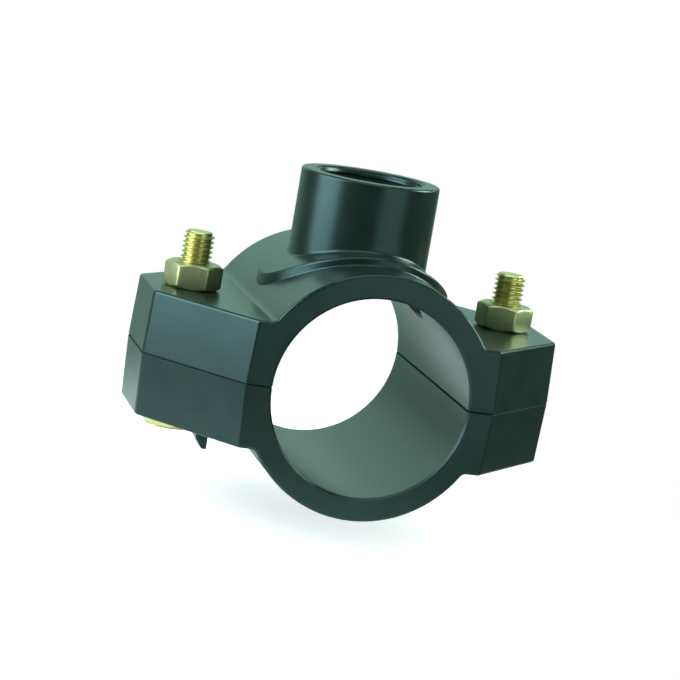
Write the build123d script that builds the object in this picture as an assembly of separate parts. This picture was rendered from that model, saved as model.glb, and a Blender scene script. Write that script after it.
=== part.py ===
from build123d import *
import os
from math import cos, radians, sqrt, tan

# Tapping saddle: two moulded halves bolted round a plastic pipe, with a threaded outlet on the
# upper half. Millimetres. The origin is the centre of the pipe bore, +Y runs along the pipe,
# +Z points up the outlet and X runs from bolt to bolt. The halves part on the plane Z = 0.

# ---- Pipe and clamping ring -------------------------------------------------------------------
PIPE_D = 50.0            # outside diameter of the pipe that is clamped
RING_WALL = 6.1          # wall of the ring round the pipe
BODY_LENGTH = 74.5       # length along the pipe
BORE_CHAMFER = 0.5       # on both mouths of the pipe bore
PARTING_BREAK = 0.25     # chamfer on the edges that lie on the parting plane

# ---- Bolt wings -------------------------------------------------------------------------------
BOLT_OFFSET = 10.5       # bolt axis outboard of the ring's outside
WING_END = 12.0          # wing beyond the bolt axis
WING_END_WIDTH = 24.6    # narrow end face, before its corners are rounded
WING_HEIGHT = 16.0       # of one half, from the parting plane
SHOULDER = 0.5           # flat end face carried past the ring's outside
DRAFT_ANGLE = 2.0        # mould draft on the wing's slanted and end faces
END_CORNER_R = 2.5       # upright corners beside the end face
SHOULDER_CORNER_R = 0.8  # upright corners between flat and slanted faces
RIM_R = 0.8              # rounding of the outer rims
ROOT_R = 2.0             # hollow between ring and wing

# ---- Outlet boss, its pad and its thread ------------------------------------------------------
OUTLET_HEIGHT = 19.4     # boss top above the ring's outside
BOSS_D = 35.8
BOSS_RIM_R = 0.7
BOSS_ROOT_R = 1.0
PAD_D = 49.2             # round pad under the boss, seen from above
PAD_HEIGHT = 2.1         # pad above the ring's outside
PAD_RIM_R = 0.7
PAD_ROOT_R = 0.5         # hollow between pad and ring
THREAD_D = 26.44         # G 3/4 pipe thread, major diameter
THREAD_DEPTH = 18.0
MOUTH_CHAMFER = 1.2
PASSAGE_D = 23.0         # plain way from the thread into the pipe

# ---- Seal ring and its groove in the pipe bore ------------------------------------------------
SEAL_LIP = 2.3           # plastic left between the passage and the groove
GROOVE_WIDTH = 5.5
GROOVE_DEPTH = 3.4       # into the wall from the pipe's surface
SEAL_PLAY = 0.1          # groove to seal, at its walls and floor
SEAL_EDGE_R = 0.8

# ---- Bolts and nuts (M8) ----------------------------------------------------------------------
BOLT_D = 7.9             # over the thread crests
BOLT_TIP_CHAMFER = 0.8
HOLE_D = 9.0             # clearance hole in the wings
HEX_AF = 13.0            # across the flats, heads and nuts
HEX_BEVEL = 0.95         # flat of a hex end face, as a share of its width across flats
HEX_BEVEL_ANGLE = 30.0
HEAD_HEIGHT = 5.3
NUT_HEIGHT = 6.5
NUT_COUNTERSINK = 0.4
THREAD_PLAY = 0.05       # nut bore to bolt, radial
THREAD_PROUD = 8.0       # bolt standing above its nut
NUT_ANGLES = {"left": -11.0, "right": -23.0}  # where each nut has come to rest

# ---- Seat of the bolt head under the lower wing -----------------------------------------------
POCKET_DEPTH = 1.5
POCKET_PLAY = 0.2        # pocket wall to head, each side
TAB_WIDTH = 7.0          # tab that stops the head from turning
TAB_THICKNESS = 3.2
TAB_DROP = 8.6           # tab below the wing
TAB_LEAD_IN = 1.9        # slope that guides the head in, across
TAB_LEAD_SLOPE = 1.5     # its height for each millimetre across

# ---- Worked out from the sizes above ----------------------------------------------------------
BORE_R = PIPE_D / 2
RING_R = BORE_R + RING_WALL
HALF_LENGTH = BODY_LENGTH / 2
BOLT_X = RING_R + BOLT_OFFSET
WING_X = BOLT_X + WING_END
PAD_R = RING_R + PAD_HEIGHT
BOSS_TOP = RING_R + OUTLET_HEIGHT
THREAD_FLOOR = BOSS_TOP - THREAD_DEPTH
GROOVE_IN_R = PASSAGE_D / 2 + SEAL_LIP
GROOVE_OUT_R = GROOVE_IN_R + GROOVE_WIDTH
HEAD_SEAT_Z = -(WING_HEIGHT - POCKET_DEPTH)
NUT_SEAT_Z = WING_HEIGHT
BOLT_TIP_Z = NUT_SEAT_Z + NUT_HEIGHT + THREAD_PROUD
POCKET_AF = HEX_AF + 2 * POCKET_PLAY
SIDES = {"left": -1, "right": 1}

CLEAR = 4 * (WING_X + BODY_LENGTH)  # larger than the whole saddle, for cutting blocks
NEAR = 1.0                          # how near a corner must be to where it is looked for
TOUCH = 1e-3                        # two places nearer than this are the same
HEX_HALF_ANGLE = 30.0               # from the middle of a hexagon's flat to its corner


def along_pipe(radius, length):
    """A round bar on the pipe's axis."""
    return Cylinder(radius, length, rotation=(90, 0, 0))


def above(z):
    """Everything above a level."""
    return Pos(0, 0, z + CLEAR / 2) * Box(CLEAR, CLEAR, CLEAR)


def upright_edges(solid, near_x, far_x):
    """Full-height corners of a wing block whose distance from the bore lies between two values."""
    return [
        edge
        for edge in solid.edges()
        if edge.bounding_box().size.Z > WING_HEIGHT - NEAR and near_x < abs(edge.center().X) < far_x
    ]


def wing_block():
    """Both wings as one long octagon, drafted away from the parting plane."""
    shoulder_x = RING_R + SHOULDER
    end_y = WING_END_WIDTH / 2
    slope = (HALF_LENGTH - end_y) / (WING_X - shoulder_x)
    inner_x = shoulder_x / 2
    inner_y = HALF_LENGTH + slope * (shoulder_x - inner_x)
    corners = [
        (WING_X, -end_y), (WING_X, end_y), (inner_x, inner_y), (-inner_x, inner_y),
        (-WING_X, end_y), (-WING_X, -end_y), (-inner_x, -inner_y), (inner_x, -inner_y),
    ]
    plan = make_face(Polyline(*corners, close=True))
    block = extrude(plan, amount=WING_HEIGHT, taper=DRAFT_ANGLE) & Box(CLEAR, BODY_LENGTH, CLEAR)
    middle_x = (WING_X + shoulder_x) / 2
    block = fillet(upright_edges(block, middle_x, WING_X + NEAR), END_CORNER_R)
    return fillet(upright_edges(block, shoulder_x - NEAR, shoulder_x + NEAR), SHOULDER_CORNER_R)


def rim_edges(half):
    """The ring's end arcs and the outline of the wing tops, as one chain at each end."""
    chain = []
    for edge in half.edges():
        box, middle = edge.bounding_box(), edge.center()
        on_end = box.size.Y < TOUCH and abs(abs(middle.Y) - HALF_LENGTH) < TOUCH
        on_top = box.size.Z < TOUCH and abs(middle.Z - WING_HEIGHT) < TOUCH
        if box.min.Z > WING_HEIGHT / 2 and (on_end or (on_top and abs(middle.X) > RING_R)):
            chain.append(edge)
    return chain


def clamp_half():
    """Outer form shared by both halves: half the ring and two wings, standing on Z = 0."""
    half = (along_pipe(RING_R, BODY_LENGTH) & above(0)) + wing_block()
    root_x = sqrt(RING_R**2 - WING_HEIGHT**2)
    roots = [
        edge
        for edge in half.edges()
        if abs(edge.center().Z - WING_HEIGHT) < TOUCH and abs(abs(edge.center().X) - root_x) < TOUCH
    ]
    half = fillet(roots, ROOT_R)
    half = fillet(rim_edges(half), RIM_R)
    return chamfer(half.faces().sort_by(Axis.Z)[0].edges(), PARTING_BREAK)


def bore_cut():
    """The pipe bore, chamfered at its mouths and where it crosses the parting plane."""
    bar = along_pipe(BORE_R, BODY_LENGTH)
    standing = (Align.CENTER, Align.CENTER, Align.MIN)
    flare = Cone(BORE_R + BORE_CHAMFER, BORE_R, BORE_CHAMFER, align=standing)
    for turn in (90, -90):
        bar += Rot(turn, 0, 0) * Pos(0, 0, -HALF_LENGTH) * flare
    break_side = PARTING_BREAK * sqrt(2)
    for side in SIDES.values():
        bar += Pos(side * BORE_R, 0, 0) * Rot(0, 45, 0) * Box(break_side, BODY_LENGTH, break_side)
    return bar


def bolt_holes():
    """Clearance holes through both wings."""
    hole = Cylinder(HOLE_D / 2, 4 * WING_HEIGHT)
    return [Pos(side * BOLT_X, 0, 0) * hole for side in SIDES.values()]


def round_edges_at(solid, radius, centre_r, bottom_z, top_z):
    """Round the edges of the outlet that run at one distance from its axis."""
    edges = []
    for edge in solid.edges():
        spot, box = edge @ 0.5, edge.bounding_box()
        distance = sqrt(spot.X**2 + spot.Y**2)
        if abs(distance - centre_r) < TOUCH and box.min.Z > bottom_z and box.max.Z < top_z:
            edges.append(edge)
    return fillet(edges, radius)


def outlet_form(half):
    """Add the round pad and the boss to the upper half."""
    pad = Cylinder(PAD_D / 2, 4 * PAD_R) & along_pipe(PAD_R, BODY_LENGTH) & above(WING_HEIGHT)
    pad = round_edges_at(pad, PAD_RIM_R, PAD_D / 2, WING_HEIGHT + TOUCH, PAD_R + TOUCH)
    foot_top = PAD_R - PAD_RIM_R - TOUCH
    body = round_edges_at(half + pad, PAD_ROOT_R, PAD_D / 2, WING_HEIGHT - TOUCH, foot_top)
    boss = Cylinder(BOSS_D / 2, BOSS_TOP, align=(Align.CENTER, Align.CENTER, Align.MIN))
    body = body + boss
    body = round_edges_at(body, BOSS_ROOT_R, BOSS_D / 2, WING_HEIGHT, PAD_R + TOUCH)
    return round_edges_at(body, BOSS_RIM_R, BOSS_D / 2, PAD_R, BOSS_TOP + TOUCH)


def outlet_way():
    """Everything bored out of the boss: mouth, thread and passage."""
    thread_r, passage_r = THREAD_D / 2, PASSAGE_D / 2
    shoulder_z = THREAD_FLOOR - (thread_r - passage_r)
    profile = Polyline(
        (0, 0), (passage_r, 0), (passage_r, shoulder_z), (thread_r, THREAD_FLOOR),
        (thread_r, BOSS_TOP - MOUTH_CHAMFER), (thread_r + MOUTH_CHAMFER, BOSS_TOP), (0, BOSS_TOP),
        close=True,
    )
    return revolve(Plane.XZ * make_face(profile), Axis.Z)


def ring_band(inner_r, outer_r, low_r, high_r):
    """A ring round the outlet that follows the pipe, between two distances from the pipe's axis."""
    band = Cylinder(outer_r, 4 * high_r) - Cylinder(inner_r, 4 * high_r)
    return (band & above(0)) & (along_pipe(high_r, BODY_LENGTH) - along_pipe(low_r, BODY_LENGTH))


def make_saddle_top():
    """Upper half with pad, threaded boss and seal groove."""
    body = outlet_form(clamp_half())
    groove = ring_band(GROOVE_IN_R, GROOVE_OUT_R, BORE_R - SEAL_PLAY, BORE_R + GROOVE_DEPTH)
    for cut in [bore_cut(), outlet_way(), groove, *bolt_holes()]:
        body -= cut
    return body


def hex_bar(across_flats, length):
    """A hexagon bar standing on Z = 0 with two of its flats across X."""
    section = RegularPolygon(across_flats / 2, 6, major_radius=False, rotation=HEX_HALF_ANGLE)
    return extrude(section, amount=length)


def head_tab(side):
    """Tab beside the pocket that keeps the bolt head from turning, on a half that faces up."""
    face_x, tip_z = BOLT_X - POCKET_AF / 2, WING_HEIGHT + TAB_DROP
    back_x, base_z = face_x - TAB_THICKNESS, WING_HEIGHT / 2
    lead_z = tip_z - TAB_LEAD_IN * TAB_LEAD_SLOPE
    outline = Polyline(
        (back_x, base_z), (back_x, tip_z), (face_x - TAB_LEAD_IN, tip_z),
        (face_x, lead_z), (face_x, base_z),
        close=True,
    )
    tab = extrude(Plane.XZ * make_face(outline), amount=TAB_WIDTH / 2, both=True)
    return tab if side > 0 else mirror(tab, about=Plane.YZ)


def make_saddle_bottom():
    """Lower half: the same clamp half turned over, with a seat and a tab for each bolt head."""
    body = clamp_half() - bore_cut()
    pocket = hex_bar(POCKET_AF, POCKET_DEPTH + TAB_DROP)
    for side in SIDES.values():
        body += head_tab(side)
        body -= Pos(side * BOLT_X, 0, WING_HEIGHT - POCKET_DEPTH) * pocket
    for hole in bolt_holes():
        body -= hole
    return mirror(body, about=Plane.XY)


def make_outlet_seal():
    """Rubber ring that fills the groove and ends flush with the pipe's surface."""
    inner_r, outer_r = GROOVE_IN_R + SEAL_PLAY, GROOVE_OUT_R - SEAL_PLAY
    ring = ring_band(inner_r, outer_r, BORE_R, BORE_R + GROOVE_DEPTH - SEAL_PLAY)
    rims = [edge for edge in ring.edges() if edge.bounding_box().size.X > inner_r]
    return fillet(rims, SEAL_EDGE_R)


def hex_blank(height, bevels):
    """A hexagon with bevelled corners at its low end, its high end or both."""
    corner_r, flat_r = HEX_AF / 2 / cos(radians(HEX_HALF_ANGLE)), HEX_BEVEL * HEX_AF / 2
    fall = (corner_r - flat_r) * tan(radians(HEX_BEVEL_ANGLE))
    low_r, low_z = (flat_r, fall) if "low" in bevels else (corner_r, 0)
    high_r, high_z = (flat_r, height - fall) if "high" in bevels else (corner_r, height)
    corners = [
        (0, 0), (low_r, 0), (corner_r, low_z),
        (corner_r, high_z), (high_r, height), (0, height),
    ]
    outline = Polyline(*dict.fromkeys(corners), close=True)
    return hex_bar(HEX_AF, height) & revolve(Plane.XZ * make_face(outline), Axis.Z)


def make_bolt(side):
    """Hexagon bolt, head below, standing in its wing."""
    length = BOLT_TIP_Z - HEAD_SEAT_Z
    standing = (Align.CENTER, Align.CENTER, Align.MIN)
    shank = Cylinder(BOLT_D / 2, length + HEAD_HEIGHT / 2, align=standing)
    tip = shank.edges().sort_by(Axis.Z)[-1]
    shank = chamfer(tip, BOLT_TIP_CHAMFER)
    head = hex_blank(HEAD_HEIGHT, bevels=("low",))
    bolt = Pos(0, 0, -HEAD_HEIGHT) * head + Pos(0, 0, -HEAD_HEIGHT / 2) * shank
    return Pos(SIDES[side] * BOLT_X, 0, HEAD_SEAT_Z) * bolt


def make_nut(side):
    """Hexagon nut, bevelled at both ends, seated on its wing."""
    bore_r = BOLT_D / 2 + THREAD_PLAY
    mouth_r = bore_r + NUT_COUNTERSINK
    outline = Polyline(
        (0, 0), (mouth_r, 0), (bore_r, NUT_COUNTERSINK),
        (bore_r, NUT_HEIGHT - NUT_COUNTERSINK), (mouth_r, NUT_HEIGHT), (0, NUT_HEIGHT),
        close=True,
    )
    nut = hex_blank(NUT_HEIGHT, bevels=("low", "high")) - revolve(Plane.XZ * make_face(outline), Axis.Z)
    return Pos(SIDES[side] * BOLT_X, 0, NUT_SEAT_Z) * Rot(0, 0, NUT_ANGLES[side] - HEX_HALF_ANGLE) * nut


def main():
    """Build every piece and write one STEP file for each."""
    pieces = {
        "saddle_top": make_saddle_top(),
        "saddle_bottom": make_saddle_bottom(),
        "outlet_seal": make_outlet_seal(),
    }
    for side in SIDES:
        pieces[f"bolt_{side}"] = make_bolt(side)
        pieces[f"nut_{side}"] = make_nut(side)
    os.makedirs("parts", exist_ok=True)
    for name, solid in pieces.items():
        export_step(solid, f"parts/{name}.step")


main()
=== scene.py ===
"""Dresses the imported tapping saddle: moulded plastic, rubber, plated M8 fasteners, threads and a studio.

Every length is in metres and in the saddle's own frame: the pipe runs along Y, the outlet points up Z
and the bolts stand at either end of X.
"""

import logging
import math
from dataclasses import dataclass
from enum import Enum
from typing import Callable, Optional, Sequence, Union

import bmesh
import bpy
from mathutils import Matrix, Vector


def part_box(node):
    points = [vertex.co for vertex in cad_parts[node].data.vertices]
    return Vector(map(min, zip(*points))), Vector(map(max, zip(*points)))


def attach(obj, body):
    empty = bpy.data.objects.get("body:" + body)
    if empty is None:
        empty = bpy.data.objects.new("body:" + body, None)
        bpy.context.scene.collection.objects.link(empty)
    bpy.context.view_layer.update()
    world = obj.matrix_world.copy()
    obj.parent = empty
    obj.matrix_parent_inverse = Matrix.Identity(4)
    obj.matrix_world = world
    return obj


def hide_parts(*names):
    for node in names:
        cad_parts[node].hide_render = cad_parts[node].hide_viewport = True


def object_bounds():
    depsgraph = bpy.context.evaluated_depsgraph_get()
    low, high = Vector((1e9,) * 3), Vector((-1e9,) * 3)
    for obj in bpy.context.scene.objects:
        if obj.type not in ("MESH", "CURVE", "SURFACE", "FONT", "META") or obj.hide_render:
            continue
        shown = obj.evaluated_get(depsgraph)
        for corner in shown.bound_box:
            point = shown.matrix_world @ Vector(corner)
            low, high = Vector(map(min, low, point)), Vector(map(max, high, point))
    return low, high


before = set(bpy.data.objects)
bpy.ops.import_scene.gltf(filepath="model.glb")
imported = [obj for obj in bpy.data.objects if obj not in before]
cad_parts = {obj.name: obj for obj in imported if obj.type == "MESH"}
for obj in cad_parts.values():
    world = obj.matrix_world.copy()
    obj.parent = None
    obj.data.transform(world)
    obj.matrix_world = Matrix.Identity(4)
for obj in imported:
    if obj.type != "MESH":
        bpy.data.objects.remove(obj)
CAD_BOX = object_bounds()

LOG = logging.getLogger("tapping_saddle")
MM = 0.001
FULL_TURN = 2 * math.pi
WELD = 1e-6              # points nearer than this are one point
CREASE = math.radians(28)    # edges of turned forms that turn more than this stay sharp

Colour = tuple[float, float, float, float]
Triple = tuple[float, float, float]
Pair = tuple[float, float]
Shape = Union[float, Callable[[float], float]]

WHITE: Colour = (1.0, 1.0, 1.0, 1.0)
BLACK: Colour = (0.0, 0.0, 0.0, 1.0)
COOL_WHITE: Triple = (0.76, 1.0, 0.90)
MIRROR_HUE: Colour = (0.58, 1.0, 0.84, 1.0)    # the backdrop's colour in glossy surfaces


class Slot(Enum):
    """The record's material slots."""

    BODY = "body_plastic"
    SEAL = "seal_rubber"
    STEEL = "zinc_steel"


class Body(Enum):
    """The bodies that pieces ride on."""

    UPPER = "upper_half"
    LOWER = "lower_half"
    LEFT_NUT = "left_nut"
    RIGHT_NUT = "right_nut"


class Side(Enum):
    """The two ends of the saddle, named as they are in the model."""

    LEFT = "left"
    RIGHT = "right"

    @property
    def nut_body(self) -> Body:
        """The body of this end's nut."""
        return Body.LEFT_NUT if self is Side.LEFT else Body.RIGHT_NUT


# ---- Node trees -------------------------------------------------------------------------------


class NodeBoard:
    """Adds nodes to one tree, sets their sockets and links them, from left to right."""

    STEP_ACROSS = 190        # spacing of the nodes in the editor
    STEP_DOWN = 160
    STAIR = 4                # nodes that go down in a row before the next one starts at the top
    MIX_SHARE = 0            # the Mix node's sockets for colours, which share their names with others
    MIX_LOW = 6
    MIX_HIGH = 7
    MIX_COLOUR = 2

    def __init__(self, tree: bpy.types.NodeTree) -> None:
        """Takes the tree that the nodes go into."""
        self.tree = tree
        self.column = 0

    def add(self, kind: str, inputs: Optional[dict] = None, **settings: object) -> bpy.types.Node:
        """Adds one node.

        Args:
            kind: the node's type, such as ShaderNodeBump.
            inputs: value or output socket for each input, by name or number.
            settings: the node's own options.

        Returns:
            The new node.
        """
        node = self.tree.nodes.new(kind)
        node.location = (self.column * self.STEP_ACROSS, -(self.column % self.STAIR) * self.STEP_DOWN)
        self.column += 1
        for name, value in settings.items():
            setattr(node, name, value)
        for key, value in (inputs or {}).items():
            if isinstance(value, bpy.types.NodeSocket):
                self.tree.links.new(value, node.inputs[key])
            else:
                node.inputs[key].default_value = value
        return node

    def math(self, operation: str, *values: object, clamp: bool = False) -> bpy.types.NodeSocket:
        """Adds a Math node on numbers or sockets and gives its result, kept between 0 and 1 by clamp."""
        node = self.add("ShaderNodeMath", dict(enumerate(values)), operation=operation, use_clamp=clamp)
        return node.outputs[0]

    def mix(self, share: object, low: object, high: object) -> bpy.types.NodeSocket:
        """Adds a straight mix of two numbers, low where share is 0 and high where it is 1."""
        gap = self.math("SUBTRACT", high, low)
        return self.math("MULTIPLY_ADD", share, gap, low)

    def blend(self, share: object, low: object, high: object) -> bpy.types.NodeSocket:
        """Adds a straight mix of two colours, low where share is 0 and high where it is 1."""
        inputs = {self.MIX_SHARE: share, self.MIX_LOW: low, self.MIX_HIGH: high}
        return self.add("ShaderNodeMix", inputs, data_type="RGBA").outputs[self.MIX_COLOUR]

    def noise(self, place: bpy.types.NodeSocket, scale: float, detail: float) -> bpy.types.NodeSocket:
        """Adds a Noise Texture read at a place and gives its value."""
        return self.add("ShaderNodeTexNoise", {"Vector": place, "Scale": scale, "Detail": detail}).outputs[0]


def fresh_material(name: str) -> tuple[bpy.types.Material, NodeBoard, bpy.types.Node]:
    """Makes a material that holds only a Principled shader and its output.

    Args:
        name: the material's name.

    Returns:
        The material, a board on its tree and the Principled node.
    """
    material = bpy.data.materials.new(name)
    material.use_nodes = True
    material.node_tree.nodes.clear()
    board = NodeBoard(material.node_tree)
    shader = board.add("ShaderNodeBsdfPrincipled")
    board.add("ShaderNodeOutputMaterial", {"Surface": shader.outputs["BSDF"]})
    return material, board, shader


# ---- Finishes ---------------------------------------------------------------------------------


@dataclass(frozen=True)
class MouldedPlastic:
    """Green-black moulded plastic: satin, with faint orange peel, fine grain and painted shade along the
    parting joint.
    """

    name: str = "moulded_plastic"
    deep: Colour = (0.0035, 0.0080, 0.0060, 1.0)
    light: Colour = (0.0130, 0.0225, 0.0180, 1.0)
    gloss_tint: Colour = (0.60, 1.0, 0.95, 1.0)
    roughness: float = 0.29
    shade_scale: float = 130.0
    shade_detail: float = 1.0
    peel_scale: float = 420.0
    peel_detail: float = 2.0
    peel_depth: float = 0.015 * MM
    grain_scale: float = 5200.0
    grain_detail: float = 3.0
    grain_depth: float = 0.003 * MM
    # painted shade: near the parting plane the colour goes towards black and the gloss is roughened, to
    # stand in for the shade in the joint
    shade_full_to: float = 0.10 * MM        # distance from the parting plane at which the painted shade is full
    shade_gone_from: float = 0.42 * MM      # and at which it is gone
    joint_shade_strength: float = 0.85

    def build(self) -> bpy.types.Material:
        """Makes the material.

        Returns:
            The finished material.
        """
        material, board, shader = fresh_material(self.name)
        place = board.add("ShaderNodeTexCoord").outputs["Object"]
        shade = board.noise(place, self.shade_scale, self.shade_detail)
        peel = board.noise(place, self.peel_scale, self.peel_detail)
        grain = board.noise(place, self.grain_scale, self.grain_detail)
        colour = board.blend(shade, self.deep, self.light)
        dimples = board.add("ShaderNodeBump", {"Height": peel, "Distance": self.peel_depth})
        skin = board.add(
            "ShaderNodeBump", {"Height": grain, "Distance": self.grain_depth, "Normal": dimples.outputs[0]}
        )
        # painted shade in the parting joint: darker colour and rougher, dimmer gloss there
        unshaded = self._painted_joint_shade(board, place)
        board.tree.links.new(board.blend(unshaded, BLACK, colour), shader.inputs["Base Color"])
        board.tree.links.new(board.mix(unshaded, 1.0, self.roughness), shader.inputs["Roughness"])
        board.tree.links.new(skin.outputs[0], shader.inputs["Normal"])
        shader.inputs["Specular Tint"].default_value = self.gloss_tint
        return material

    def _painted_joint_shade(self, board: NodeBoard, place: bpy.types.NodeSocket) -> bpy.types.NodeSocket:
        """Paints shade into the parting joint, standing in for the shade that falls in the groove between
        the halves.

        Args:
            board: the board on the material's tree.
            place: the point in the piece's own coordinates.

        Returns:
            The socket that is 1 away from the joint and falls towards 0 in it, where shade is painted.
        """
        spot = board.add("ShaderNodeSeparateXYZ", {0: place}).outputs
        reach = board.math("ABSOLUTE", spot["Z"])
        clear = board.add(
            "ShaderNodeMapRange", {"Value": reach, "From Min": self.shade_full_to, "From Max": self.shade_gone_from}
        ).outputs[0]
        return board.math("MAXIMUM", clear, 1.0 - self.joint_shade_strength)


@dataclass(frozen=True)
class ZincPlate:
    """Steel with yellow zinc plating: olive-gold and cloudy, with fine turning marks round its axis."""

    name: str
    warm: Colour
    cool: Colour
    roughness: Pair
    cloud_scale: float = 260.0
    cloud_detail: float = 5.0
    cloud_spread: Pair = (0.35, 0.65)      # noise values that give the cool and the warm colour in full
    mark_scale: Triple = (900.0, 900.0, 9000.0)
    mark_detail: float = 2.0
    mark_depth: float = 0.006 * MM

    def build(self) -> bpy.types.Material:
        """Makes the material.

        Returns:
            The finished material.
        """
        material, board, shader = fresh_material(self.name)
        place = board.add("ShaderNodeTexCoord").outputs["Object"]
        clouds = board.noise(place, self.cloud_scale, self.cloud_detail)
        stretched = board.add("ShaderNodeMapping", {"Vector": place, "Scale": self.mark_scale})
        marks = board.noise(stretched.outputs[0], 1.0, self.mark_detail)
        cool_to, warm_from = self.cloud_spread
        warmth = board.add(
            "ShaderNodeMapRange", {"Value": clouds, "From Min": cool_to, "From Max": warm_from}
        ).outputs[0]
        colour = board.blend(warmth, self.cool, self.warm)
        bump = board.add("ShaderNodeBump", {"Height": marks, "Distance": self.mark_depth})
        board.tree.links.new(colour, shader.inputs["Base Color"])
        board.tree.links.new(board.mix(marks, *self.roughness), shader.inputs["Roughness"])
        board.tree.links.new(bump.outputs[0], shader.inputs["Normal"])
        shader.inputs["Metallic"].default_value = 1.0
        return material


BOLT_PLATE = ZincPlate(
    name="yellow_zinc_bolt",
    warm=(0.80, 0.70, 0.28, 1.0),
    cool=(0.64, 0.61, 0.24, 1.0),
    roughness=(0.26, 0.42),
)
NUT_PLATE = ZincPlate(
    name="yellow_zinc_nut",
    warm=(0.62, 0.58, 0.28, 1.0),
    cool=(0.50, 0.51, 0.29, 1.0),
    roughness=(0.34, 0.52),
)


@dataclass(frozen=True)
class SealRubber:
    """Matt black rubber with a dusty bloom."""

    name: str = "seal_rubber_black"
    deep: Colour = (0.004, 0.004, 0.004, 1.0)
    bloom: Colour = (0.010, 0.011, 0.011, 1.0)
    gloss: float = 0.12
    roughness: float = 0.80
    bloom_scale: float = 700.0
    bloom_detail: float = 5.0
    grain_depth: float = 0.02 * MM

    def build(self) -> bpy.types.Material:
        """Makes the material.

        Returns:
            The finished material.
        """
        material, board, shader = fresh_material(self.name)
        place = board.add("ShaderNodeTexCoord").outputs["Object"]
        dust = board.noise(place, self.bloom_scale, self.bloom_detail)
        colour = board.blend(dust, self.deep, self.bloom)
        bump = board.add("ShaderNodeBump", {"Height": dust, "Distance": self.grain_depth})
        board.tree.links.new(colour, shader.inputs["Base Color"])
        board.tree.links.new(bump.outputs[0], shader.inputs["Normal"])
        shader.inputs["Roughness"].default_value = self.roughness
        shader.inputs["Specular IOR Level"].default_value = self.gloss
        return material


@dataclass(frozen=True)
class PaleFloor:
    """White studio floor that keeps the saddle's shadow, fades out and can't be seen from below."""

    name: str = "pale_floor"
    colour: Colour = (0.86, 0.87, 0.87, 1.0)
    own_light: float = 0.62
    mirrored_light: float = 0.10
    fade_centre: Triple = (-0.05, 0.02, -0.03)
    fade_from: float = 0.09
    fade_to: float = 0.17

    def build(self) -> bpy.types.Material:
        """Makes the material.

        Returns:
            The finished material.
        """
        material = bpy.data.materials.new(self.name)
        material.use_nodes = True
        material.node_tree.nodes.clear()
        board = NodeBoard(material.node_tree)
        place = board.add("ShaderNodeTexCoord").outputs["Object"]
        reach = board.add(
            "ShaderNodeVectorMath", {0: place, 1: self.fade_centre}, operation="DISTANCE"
        ).outputs["Value"]
        fade = board.add(
            "ShaderNodeMapRange",
            {"Value": reach, "From Min": self.fade_from, "From Max": self.fade_to},
            interpolation_type="SMOOTHSTEP",
        ).outputs[0]
        path = board.add("ShaderNodeLightPath").outputs
        seen = board.math("MAXIMUM", path["Is Camera Ray"], path["Is Transmission Ray"])
        seen = board.math("MULTIPLY", seen, self.own_light)
        strength = board.math("MULTIPLY_ADD", path["Is Glossy Ray"], self.mirrored_light, seen)
        matt = board.add("ShaderNodeBsdfDiffuse", {"Color": self.colour})
        glow = board.add("ShaderNodeEmission", {"Color": WHITE, "Strength": strength})
        lit = board.add("ShaderNodeAddShader", {0: matt.outputs[0], 1: glow.outputs[0]})
        clear = board.add("ShaderNodeBsdfTransparent")
        back = board.add("ShaderNodeNewGeometry").outputs["Backfacing"]
        under = board.math("MULTIPLY", back, path["Is Camera Ray"])
        open_share = board.math("MAXIMUM", fade, under)
        ground = board.add("ShaderNodeMixShader", {0: open_share, 1: lit.outputs[0], 2: clear.outputs[0]})
        board.add("ShaderNodeOutputMaterial", {"Surface": ground.outputs[0]})
        return material


# ---- Mesh making ------------------------------------------------------------------------------


def value_at(shape: Shape, angle: float) -> float:
    """Reads a size that is either one number or a function of the angle round the axis."""
    return shape(angle) if callable(shape) else shape


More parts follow.
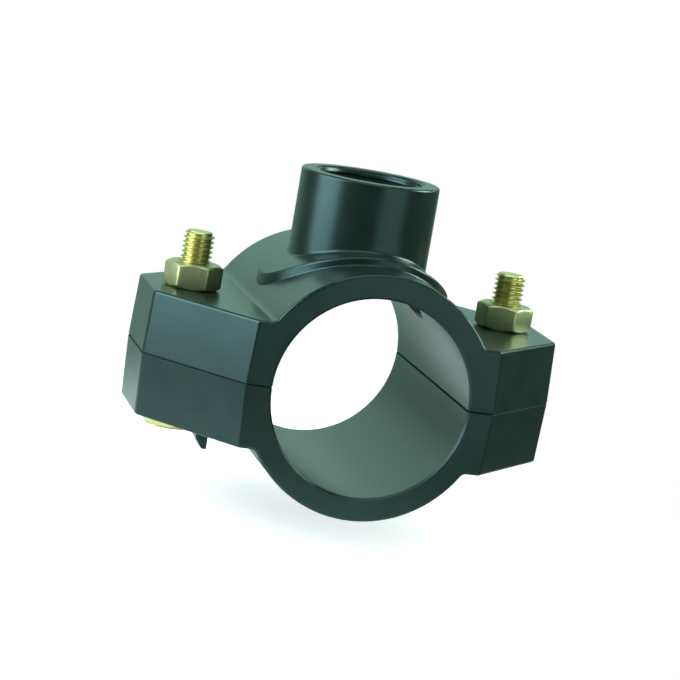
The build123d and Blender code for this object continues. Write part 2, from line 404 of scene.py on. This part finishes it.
class TurnedForm:
    """A closed form round an upright axis, made ring by ring with the same points in each ring."""

    ROUND_SEGMENTS = 2       # faces across a rounded edge
    ROUND_PROFILE = 0.5      # its shape, which is a circle's arc here

    def __init__(self, columns: int) -> None:
        """Takes the number of points in each ring."""
        self.columns = columns
        self.mesh = bmesh.new()

    def ring(self, radius: Shape, height: Shape) -> list[bmesh.types.BMVert]:
        """Adds one ring of points.

        Args:
            radius: distance from the axis.
            height: place along the axis.

        Returns:
            The ring's points, in order.
        """
        points = []
        for step in range(self.columns):
            angle = FULL_TURN * step / self.columns
            reach = value_at(radius, angle)
            spot = (reach * math.cos(angle), reach * math.sin(angle), value_at(height, angle))
            points.append(self.mesh.verts.new(spot))
        return points

    def walls(self, rings: Sequence[list[bmesh.types.BMVert]]) -> None:
        """Joins each ring to the next one with faces.

        Args:
            rings: the rings, in order along the surface.
        """
        for low, high in zip(rings, rings[1:]):
            for step in range(self.columns):
                after = (step + 1) % self.columns
                self.mesh.faces.new((low[step], low[after], high[after], high[step]))

    def cap(self, ring: list[bmesh.types.BMVert]) -> None:
        """Closes a ring with a fan of faces round its middle.

        Args:
            ring: the ring's points.
        """
        middle = sum((point.co for point in ring), Vector()) / len(ring)
        centre = self.mesh.verts.new(middle)
        for step in range(self.columns):
            self.mesh.faces.new((ring[step], ring[(step + 1) % self.columns], centre))

    def round_edges(self, radius: float, over_angle: float) -> None:
        """Rounds every sharp edge that isn't on an open end.

        Args:
            radius: width of the rounding.
            over_angle: edges that turn more than this are rounded, in radians.
        """
        self.mesh.normal_update()
        sharp = [
            edge for edge in self.mesh.edges
            if len(edge.link_faces) == 2 and edge.calc_face_angle(0.0) > over_angle
        ]
        bmesh.ops.bevel(
            self.mesh, geom=sharp, offset=radius, segments=self.ROUND_SEGMENTS,
            profile=self.ROUND_PROFILE, affect="EDGES",
        )

    def absorb(self, wall: bpy.types.Mesh) -> None:
        """Adds a wall whose end rings match this form's open ends, and removes its own mesh."""
        self.mesh.from_mesh(wall)
        bpy.data.meshes.remove(wall)

    def place(self, turn: float, spot: Vector) -> None:
        """Turns the form about its axis, in radians, and moves the axis and zero height to a spot."""
        move = Matrix.Translation(spot) @ Matrix.Rotation(turn, 4, "Z")
        bmesh.ops.transform(self.mesh, matrix=move, verts=self.mesh.verts)

    def close(self, name: str) -> bpy.types.Object:
        """Welds the form and makes it an object that is linked to the scene."""
        return piece_from(self.mesh, name, CREASE)


def piece_from(mesh: bmesh.types.BMesh, name: str, crease: float) -> bpy.types.Object:
    """Welds a mesh, turns its faces outwards and makes it an object.

    Args:
        mesh: the mesh; it is freed afterwards.
        name: the piece's name.
        crease: edges that turn more than this stay sharp, in radians.

    Returns:
        The piece, linked to the scene.
    """
    bmesh.ops.remove_doubles(mesh, verts=mesh.verts, dist=WELD)
    bmesh.ops.recalc_face_normals(mesh, faces=mesh.faces)
    for face in mesh.faces:
        face.smooth = True
    for edge in mesh.edges:
        edge.smooth = edge.calc_face_angle(0.0) < crease
    data = bpy.data.meshes.new(name)
    mesh.to_mesh(data)
    mesh.free()
    piece = bpy.data.objects.new(name, data)
    bpy.context.scene.collection.objects.link(piece)
    return piece


def dress(piece: bpy.types.Object, material: bpy.types.Material) -> None:
    """Gives a piece its finish.

    Args:
        piece: the object.
        material: its finish.
    """
    piece.data.materials.clear()
    piece.data.materials.append(material)


# ---- Threads ----------------------------------------------------------------------------------


@dataclass(frozen=True)
class ThreadSize:
    """One right-hand thread, as a wall of revolution with a helical ridge."""

    crest: float             # radius of the ridge
    root: float              # radius of the hollow between ridges
    pitch: float
    low: float               # height where the wall starts
    high: float
    low_radius: float        # plain radius at each end
    high_radius: float
    run_in: float            # length over which the ridge grows from the low end
    run_out: float
    columns: int
    steps: int = 16          # rows in one pitch
    start: float = 0.0       # turn at which the ridge crosses height zero, as a share of a turn


class ThreadedWall:
    """Geometry Nodes tree that winds a strip of faces into the ridged wall of a screw thread."""

    CREST_HALF = 1 / 16      # half the ridge's flat, in pitches
    ROOT_HALF = 3 / 8        # from the ridge's middle to the edge of the hollow, in pitches
    RIDGE_MIDDLE = 1 / 2     # where the ridge stands in its pitch
    STRIP_HALF = 1 / 2       # half the side of the flat strip, whose middle is at zero
    FLOATS = (
        "Crest Radius", "Root Radius", "Pitch", "Low End", "High End",
        "Low End Radius", "High End Radius", "Run In", "Run Out", "Start",
    )
    WHOLE = ("Columns", "Steps")

    def __init__(self, material: bpy.types.Material) -> None:
        """Builds the tree.

        Args:
            material: the finish that the wall is given.
        """
        self.tree = bpy.data.node_groups.new("threaded_wall", "GeometryNodeTree")
        face = self.tree.interface
        for name in self.FLOATS:
            face.new_socket(name, in_out="INPUT", socket_type="NodeSocketFloat")
        for name in self.WHOLE:
            face.new_socket(name, in_out="INPUT", socket_type="NodeSocketInt")
        face.new_socket("Material", in_out="INPUT", socket_type="NodeSocketMaterial")
        face.new_socket("Geometry", in_out="OUTPUT", socket_type="NodeSocketGeometry")
        self.material = material
        self._lay_out(NodeBoard(self.tree))

    def _lay_out(self, board: NodeBoard) -> None:
        """Adds the tree's nodes.

        Args:
            board: the board on the tree.
        """
        given = board.add("NodeGroupInput").outputs
        pitch, low, high = given["Pitch"], given["Low End"], given["High End"]

        # A flat strip with a row for each step of the turns that cover the wall, and one turn to spare.
        low_turns = board.math("SUBTRACT", board.math("DIVIDE", low, pitch), given["Start"])
        high_turns = board.math("SUBTRACT", board.math("DIVIDE", high, pitch), given["Start"])
        first = board.math("SUBTRACT", board.math("FLOOR", low_turns), 1.0)
        span = board.math("SUBTRACT", board.math("CEIL", high_turns), first)
        rows = board.math("MULTIPLY", span, given["Steps"])
        strip = board.add(
            "GeometryNodeMeshGrid",
            {
                "Size X": 1.0,
                "Size Y": 1.0,
                "Vertices X": board.math("ADD", given["Columns"], 1.0),
                "Vertices Y": board.math("ADD", rows, 1.0),
            },
        ).outputs["Mesh"]

        # Each point's place on the helix, with its height held between the wall's two ends.
        spot = board.add("ShaderNodeSeparateXYZ", {0: board.add("GeometryNodeInputPosition").outputs[0]})
        turn = board.math("ADD", spot.outputs["X"], self.STRIP_HALF)
        share = board.math("ADD", spot.outputs["Y"], self.STRIP_HALF)
        row = board.math("ROUND", board.math("MULTIPLY", share, rows))
        turns = board.math("ADD", board.math("DIVIDE", row, given["Steps"]), first)
        lead = board.math("ADD", board.math("ADD", turns, turn), given["Start"])
        height = board.math("MULTIPLY", lead, pitch)
        height = board.math("MINIMUM", board.math("MAXIMUM", height, low), high)

        # The ridge's profile, which grows out of the plain radius at either end.
        climbed = board.math("DIVIDE", height, pitch)
        wound = board.math("SUBTRACT", climbed, board.math("ADD", turn, given["Start"]))
        offset = board.math("SUBTRACT", board.math("FRACT", wound), self.RIDGE_MIDDLE)
        offset = board.math("ABSOLUTE", offset)
        flank = board.math("SUBTRACT", offset, self.CREST_HALF)
        fall = board.math("DIVIDE", flank, self.ROOT_HALF - self.CREST_HALF, clamp=True)
        ridge = board.mix(fall, given["Crest Radius"], given["Root Radius"])
        grown = board.math("DIVIDE", board.math("SUBTRACT", height, low), given["Run In"], clamp=True)
        left = board.math("DIVIDE", board.math("SUBTRACT", high, height), given["Run Out"], clamp=True)
        radius = board.mix(grown, given["Low End Radius"], ridge)
        radius = board.mix(left, given["High End Radius"], radius)

        # The strip is rolled up, welded along its seam and given its finish.
        angle = board.math("MULTIPLY", turn, FULL_TURN)
        across = board.math("MULTIPLY", radius, board.math("COSINE", angle))
        along = board.math("MULTIPLY", radius, board.math("SINE", angle))
        target = board.add("ShaderNodeCombineXYZ", {"X": across, "Y": along, "Z": height}).outputs[0]
        wrapped = board.add("GeometryNodeSetPosition", {"Geometry": strip, "Position": target}).outputs[0]
        welded = board.add("GeometryNodeMergeByDistance", {"Geometry": wrapped, "Distance": WELD}).outputs[0]
        real = board.add("GeometryNodeRealizeInstances", {"Geometry": welded}).outputs[0]
        dressed = board.add("GeometryNodeSetMaterial", {"Geometry": real, "Material": given["Material"]})
        board.add("NodeGroupOutput", {0: dressed.outputs[0]})

    def make(self, size: ThreadSize) -> bpy.types.Mesh:
        """Makes one threaded wall on the Z axis.

        Args:
            size: the thread's sizes.

        Returns:
            A plain mesh, open at both ends.
        """
        carrier = bpy.data.objects.new("thread_carrier", bpy.data.meshes.new("thread_carrier"))
        bpy.context.scene.collection.objects.link(carrier)
        modifier = carrier.modifiers.new("threaded_wall", "NODES")
        modifier.node_group = self.tree
        sockets = {
            item.name: item.identifier
            for item in self.tree.interface.items_tree if item.in_out == "INPUT"
        }
        values = (
            size.crest, size.root, size.pitch, size.low, size.high,
            size.low_radius, size.high_radius, size.run_in, size.run_out, size.start,
        )
        for name, value in zip(self.FLOATS, values):
            modifier[sockets[name]] = float(value)
        for name, value in zip(self.WHOLE, (size.columns, size.steps)):
            modifier[sockets[name]] = int(value)
        modifier[sockets["Material"]] = self.material
        depsgraph = bpy.context.evaluated_depsgraph_get()
        wall = bpy.data.meshes.new_from_object(carrier.evaluated_get(depsgraph))
        carrier.modifiers.remove(modifier)
        empty = carrier.data
        bpy.data.objects.remove(carrier)
        bpy.data.meshes.remove(empty)
        return wall


# ---- Fasteners --------------------------------------------------------------------------------


@dataclass(frozen=True)
class MetricScrew:
    """The M8 coarse thread and hexagon that bolts and nuts share."""

    crest: float = 3.95 * MM
    root: float = 3.21 * MM
    pitch: float = 1.25 * MM
    apothem: float = 6.5 * MM
    flat_share: float = 0.95       # flat of a hexagon's end face, as a share of its width
    bevel_slope: float = math.tan(math.radians(30))
    edge_round: float = 0.30 * MM
    round_over: float = math.radians(20)     # edges that turn more than this are rounded
    sides: int = 6
    columns: int = 48

    @property
    def flat_radius(self) -> float:
        """Radius of a hexagon's flat end face."""
        return self.flat_share * self.apothem

    def hexagon(self, angle: float) -> float:
        """Distance from the axis to the hexagon's side, whose first side faces +X."""
        half_side = FULL_TURN / self.sides / 2
        return self.apothem / math.cos((angle + half_side) % (2 * half_side) - half_side)

    def bevel_drop(self, angle: float) -> float:
        """Height that the end bevel has lost where it reaches the side."""
        return (self.hexagon(angle) - self.flat_radius) * self.bevel_slope


def axis_spot(low: Vector, high: Vector) -> Vector:
    """Finds where the upright axis of a fastener with this box stands, at height zero."""
    return Vector(((low.x + high.x) / 2, (low.y + high.y) / 2, 0.0))


@dataclass(frozen=True)
class HexBolt:
    """Hexagon bolt, head down, with a plain shank and a thread up to its chamfered tip."""

    side: Side
    screw: MetricScrew = MetricScrew()
    head_height: float = 5.3 * MM
    thread_length: float = 22.0 * MM
    tip_chamfer: float = 0.8 * MM
    run_in: float = 1.6 * MM

    def build(self, threads: ThreadedWall) -> bpy.types.Object:
        """Makes the bolt in its place.

        Args:
            threads: the maker of threaded walls.

        Returns:
            The bolt.
        """
        low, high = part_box(f"bolt_{self.side.value}")
        screw, bottom, tip = self.screw, low.z, high.z
        seat, thread_start = bottom + self.head_height, tip - self.thread_length
        tip_radius = screw.crest - self.tip_chamfer
        form = TurnedForm(screw.columns)
        end = form.ring(screw.flat_radius, bottom)
        form.cap(end)
        form.walls([
            end,
            form.ring(screw.hexagon, lambda angle: bottom + screw.bevel_drop(angle)),
            form.ring(screw.hexagon, seat),
            form.ring(screw.crest, seat),
            form.ring(screw.crest, thread_start),
        ])
        form.cap(form.ring(tip_radius, tip))
        form.round_edges(screw.edge_round, screw.round_over)
        wall = threads.make(ThreadSize(
            crest=screw.crest, root=screw.root, pitch=screw.pitch, low=thread_start, high=tip,
            low_radius=screw.crest, high_radius=tip_radius, run_in=self.run_in, run_out=self.tip_chamfer,
            columns=screw.columns,
        ))
        form.absorb(wall)
        form.place(0.0, axis_spot(low, high))
        return form.close(f"hex_bolt_{self.side.value}")


@dataclass(frozen=True)
class HexNut:
    """Hexagon nut, bevelled at both ends, whose thread runs in the bolt's thread."""

    side: Side
    turn: float                    # angle of its first side from +X, in radians
    screw: MetricScrew = MetricScrew()
    play: float = 0.06 * MM        # between the two threads
    countersink: float = 0.4 * MM

    def build(self, threads: ThreadedWall) -> bpy.types.Object:
        """Makes the nut in its place.

        Args:
            threads: the maker of threaded walls.

        Returns:
            The nut.
        """
        low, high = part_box(f"nut_{self.side.value}")
        screw, bottom, top = self.screw, low.z, high.z
        mouth = screw.crest + self.play + self.countersink / 2
        form = TurnedForm(screw.columns)
        form.walls([
            form.ring(mouth, bottom),
            form.ring(screw.flat_radius, bottom),
            form.ring(screw.hexagon, lambda angle: bottom + screw.bevel_drop(angle)),
            form.ring(screw.hexagon, lambda angle: top - screw.bevel_drop(angle)),
            form.ring(screw.flat_radius, top),
            form.ring(mouth, top),
        ])
        form.round_edges(screw.edge_round, screw.round_over)
        wall = threads.make(ThreadSize(
            crest=screw.crest + self.play, root=screw.root + self.play, pitch=screw.pitch,
            low=bottom, high=top, low_radius=mouth, high_radius=mouth,
            run_in=self.countersink, run_out=self.countersink,
            columns=screw.columns, start=self.turn / FULL_TURN,
        ))
        form.absorb(wall)
        form.place(self.turn, axis_spot(low, high))
        return form.close(f"hex_nut_{self.side.value}")


@dataclass(frozen=True)
class Fasteners:
    """Both bolts and both nuts."""

    nut_turns: tuple[tuple[Side, float], ...] = (
        (Side.LEFT, math.radians(-41.0)),
        (Side.RIGHT, math.radians(-53.0)),
    )

    def build(self) -> None:
        """Makes the fasteners and puts them on their bodies."""
        bolt_steel, nut_steel = BOLT_PLATE.build(), NUT_PLATE.build()
        bolt_threads, nut_threads = ThreadedWall(bolt_steel), ThreadedWall(nut_steel)
        for side, turn in self.nut_turns:
            bolt = HexBolt(side).build(bolt_threads)
            dress(bolt, bolt_steel)
            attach(bolt, Body.LOWER.value)
            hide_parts(f"bolt_{side.value}")
            nut = HexNut(side, turn).build(nut_threads)
            dress(nut, nut_steel)
            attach(nut, side.nut_body.value)
            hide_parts(f"nut_{side.value}")
            LOG.info("%s bolt and nut made", side.value)


# ---- Moulded halves, outlet thread and seal ---------------------------------------------------


@dataclass(frozen=True)
class MouldedHalves:
    """The two moulded halves, as welded copies of their solids with smooth curved faces."""

    crease: float = math.radians(24)
    normal_weight: int = 100       # how far the large faces decide the normals, in percent

    def _skin(self, node: str) -> bpy.types.Object:
        """Makes a welded, smoothly shaded copy of a solid.

        Args:
            node: the solid's name.

        Returns:
            The copy.
        """
        mesh = bmesh.new()
        mesh.from_mesh(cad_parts[node].data)
        piece = piece_from(mesh, f"{node}_skin", self.crease)
        weighted = piece.modifiers.new("even_normals", "WEIGHTED_NORMAL")
        weighted.keep_sharp = True
        weighted.weight = self.normal_weight
        return piece

    def build(self, plastic: bpy.types.Material) -> None:
        """Makes both skins and puts them on their bodies.

        Args:
            plastic: the moulded finish.
        """
        for node, body in (("saddle_top", Body.UPPER), ("saddle_bottom", Body.LOWER)):
            skin = self._skin(node)
            dress(skin, plastic)
            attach(skin, body.value)
            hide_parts(node)
            LOG.info("%s dressed", node)


@dataclass(frozen=True)
class OutletThread:
    """The G 3/4 female thread moulded in the outlet, as a ring let into the boss wall."""

    major: float = 13.22 * MM
    minor: float = 12.06 * MM
    pitch: float = 1.814 * MM
    length: float = 16.8 * MM
    mouth_chamfer: float = 1.2 * MM
    mouth_left: float = 0.3 * MM   # how much of the mouth's chamfer stays free above the ring
    buried: float = 0.12 * MM      # how far the ring's back lies inside the plastic
    run_in: float = 1.6 * MM
    run_out: float = 3.4 * MM
    columns: int = 144

    def build(self, threads: ThreadedWall, plastic: bpy.types.Material) -> None:
        """Makes the threaded ring and puts it on the upper half.

        Args:
            threads: the maker of threaded walls.
            plastic: the moulded finish.
        """
        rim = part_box("saddle_top")[1].z
        foot, top = rim - self.mouth_chamfer, rim - self.mouth_left
        bottom, back = foot - self.length, self.major + self.buried
        form = TurnedForm(self.columns)
        form.walls([
            form.ring(self.major, bottom),
            form.ring(back, bottom),
            form.ring(back, foot),
            form.ring(back + top - foot, top),
            form.ring(self.major, top),
        ])
        wall = threads.make(ThreadSize(
            crest=self.major, root=self.minor, pitch=self.pitch, low=bottom, high=top,
            low_radius=self.major, high_radius=self.major, run_in=self.run_in, run_out=self.run_out,
            columns=self.columns,
        ))
        form.absorb(wall)
        ring = form.close("outlet_thread")
        dress(ring, plastic)
        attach(ring, Body.UPPER.value)
        LOG.info("outlet thread made")


@dataclass(frozen=True)
class OutletSeal:
    """The rubber ring in the upper half, as a welded copy of its solid."""

    crease: float = math.radians(40)

    def build(self, rubber: bpy.types.Material) -> None:
        """Makes the seal and puts it on the upper half.

        Args:
            rubber: the seal's finish.
        """
        mesh = bmesh.new()
        mesh.from_mesh(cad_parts["outlet_seal"].data)
        seal = piece_from(mesh, "outlet_seal_skin", self.crease)
        dress(seal, rubber)
        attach(seal, Body.UPPER.value)
        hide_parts("outlet_seal")
        LOG.info("outlet seal dressed")


# ---- Studio -----------------------------------------------------------------------------------


@dataclass(frozen=True)
class Softbox:
    """One rectangular studio lamp that faces the middle of the saddle's bore."""

    name: str
    azimuth: float           # degrees from the front, towards the left end
    elevation: float         # degrees above the floor
    distance: float
    width: float
    height: float
    power: float             # watts
    colour: Triple

    def build(self) -> None:
        """Makes the lamp."""
        data = bpy.data.lights.new(self.name, "AREA")
        data.shape, data.size, data.size_y = "RECTANGLE", self.width, self.height
        data.energy, data.color = self.power, self.colour
        lamp = bpy.data.objects.new(self.name, data)
        bpy.context.scene.collection.objects.link(lamp)
        turn, tilt = math.radians(self.azimuth), math.radians(self.elevation)
        flat = math.cos(tilt)
        away = Vector((-math.sin(turn) * flat, -math.cos(turn) * flat, math.sin(tilt)))
        lamp.location = away * self.distance
        lamp.rotation_euler = away.to_track_quat("Z", "Y").to_euler()


@dataclass(frozen=True)
class Viewpoint:
    """The camera: where it stands, where it looks and how it is held."""

    spot: Triple = (-0.169176, -0.655516, 0.118876)
    heading: float = math.radians(14.405)    # from +Y towards +X
    tilt: float = math.radians(-9.353)
    roll: float = math.radians(9.769)
    lens: float = 140.72                     # mm
    sensor: float = 36.0                     # mm
    clip: Pair = (0.01, 50.0)

    def build(self) -> None:
        """Makes the camera and hands it to the scene."""
        data = bpy.data.cameras.new("camera")
        data.lens, data.sensor_width = self.lens, self.sensor
        data.clip_start, data.clip_end = self.clip
        camera = bpy.data.objects.new("camera", data)
        bpy.context.scene.collection.objects.link(camera)
        flat = math.cos(self.tilt)
        ahead = Vector((math.sin(self.heading) * flat, math.cos(self.heading) * flat, math.sin(self.tilt)))
        level = ahead.cross(Vector((0, 0, 1))).normalized()
        upright = level.cross(ahead)
        right = level * math.cos(self.roll) + upright * math.sin(self.roll)
        up = upright * math.cos(self.roll) - level * math.sin(self.roll)
        turn = Matrix((right, up, -ahead)).transposed().to_4x4()
        camera.matrix_world = Matrix.Translation(Vector(self.spot)) @ turn
        bpy.context.scene.camera = camera


@dataclass(frozen=True)
class Studio:
    """White studio: lamps, a world that is bright behind the saddle, and the floor."""

    lamps: tuple[Softbox, ...] = (
        Softbox(
            name="key_left", azimuth=82.0, elevation=22.0, distance=0.38,
            width=0.30, height=0.36, power=2.15, colour=(0.80, 1.0, 1.09),
        ),
        Softbox(
            name="fill_right", azimuth=-30.0, elevation=6.0, distance=0.60,
            width=0.46, height=0.34, power=0.70, colour=(0.80, 1.0, 1.02),
        ),
        Softbox(
            name="side_right", azimuth=-95.0, elevation=30.0, distance=0.50,
            width=0.24, height=0.24, power=2.20, colour=COOL_WHITE,
        ),
        Softbox(
            name="top", azimuth=20.0, elevation=78.0, distance=0.90,
            width=0.90, height=0.90, power=3.9, colour=COOL_WHITE,
        ),
    )
    ambient: float = 0.34
    mirrored_dark: float = 0.12    # what glossy surfaces see beside and in front of the saddle
    mirrored_low: float = 0.50     # what they see of the backdrop, down at the horizon
    low_band: float = 0.26         # upward part of the direction in which the backdrop is in full light
    behind: Pair = (0.62, 0.92)    # part of the direction along +Y where it starts and is in full light
    floor_radius: float = 0.34
    floor_gap: float = 7.8 * MM    # room for the lower half at the end of its travel
    floor_columns: int = 96

    def _world(self) -> None:
        """Makes the world: white to the camera, even to matt surfaces, brightest behind to glossy ones."""
        world = bpy.data.worlds.new("studio")
        bpy.context.scene.world = world
        world.use_nodes = True
        world.node_tree.nodes.clear()
        board = NodeBoard(world.node_tree)
        place = board.add("ShaderNodeTexCoord").outputs["Generated"]
        way = board.add("ShaderNodeSeparateXYZ", {0: place}).outputs
        lifted = board.add(
            "ShaderNodeMapRange",
            {"Value": way["Z"], "From Min": 0.0, "From Max": self.low_band, "To Min": self.mirrored_low},
            interpolation_type="SMOOTHSTEP",
        ).outputs[0]
        behind_from, behind_to = self.behind
        behind = board.add(
            "ShaderNodeMapRange", {"Value": way["Y"], "From Min": behind_from, "From Max": behind_to},
            interpolation_type="SMOOTHSTEP",
        ).outputs[0]
        mirrored = board.mix(behind, self.mirrored_dark, lifted)
        path = board.add("ShaderNodeLightPath").outputs
        shown = board.mix(path["Is Glossy Ray"], self.ambient, mirrored)
        plain = board.math("MAXIMUM", path["Is Camera Ray"], path["Is Transmission Ray"])
        strength = board.mix(plain, shown, 1.0)
        tinted = board.blend(path["Is Glossy Ray"], (*COOL_WHITE, 1.0), MIRROR_HUE)
        hue = board.blend(plain, tinted, WHITE)
        light = board.add("ShaderNodeBackground", {"Color": hue, "Strength": strength})
        board.add("ShaderNodeOutputWorld", {"Surface": light.outputs[0]})

    def _floor(self) -> None:
        """Makes the floor just under the saddle."""
        form = TurnedForm(self.floor_columns)
        rim = form.ring(self.floor_radius, CAD_BOX[0].z - self.floor_gap)
        form.cap(rim)
        floor = form.close("floor")
        for face in floor.data.polygons:
            if face.normal.z < 0:
                face.flip()
        floor.data.materials.append(PaleFloor().build())

    def build(self) -> None:
        """Makes the lamps, the world and the floor, and sets plain colour handling."""
        for lamp in self.lamps:
            lamp.build()
        self._world()
        self._floor()
        bpy.context.scene.view_settings.view_transform = "Standard"
        LOG.info("studio made")


# ---- Making -----------------------------------------------------------------------------------


def main() -> None:
    """Builds the camera, the saddle's pieces and the studio."""
    logging.basicConfig(level=logging.INFO, format="%(name)s: %(message)s")
    Viewpoint().build()
    plastic, rubber = MouldedPlastic().build(), SealRubber().build()
    MouldedHalves().build(plastic)
    OutletThread().build(ThreadedWall(plastic), plastic)
    OutletSeal().build(rubber)
    Fasteners().build()
    Studio().build()


if __name__ == "__main__":
    main()
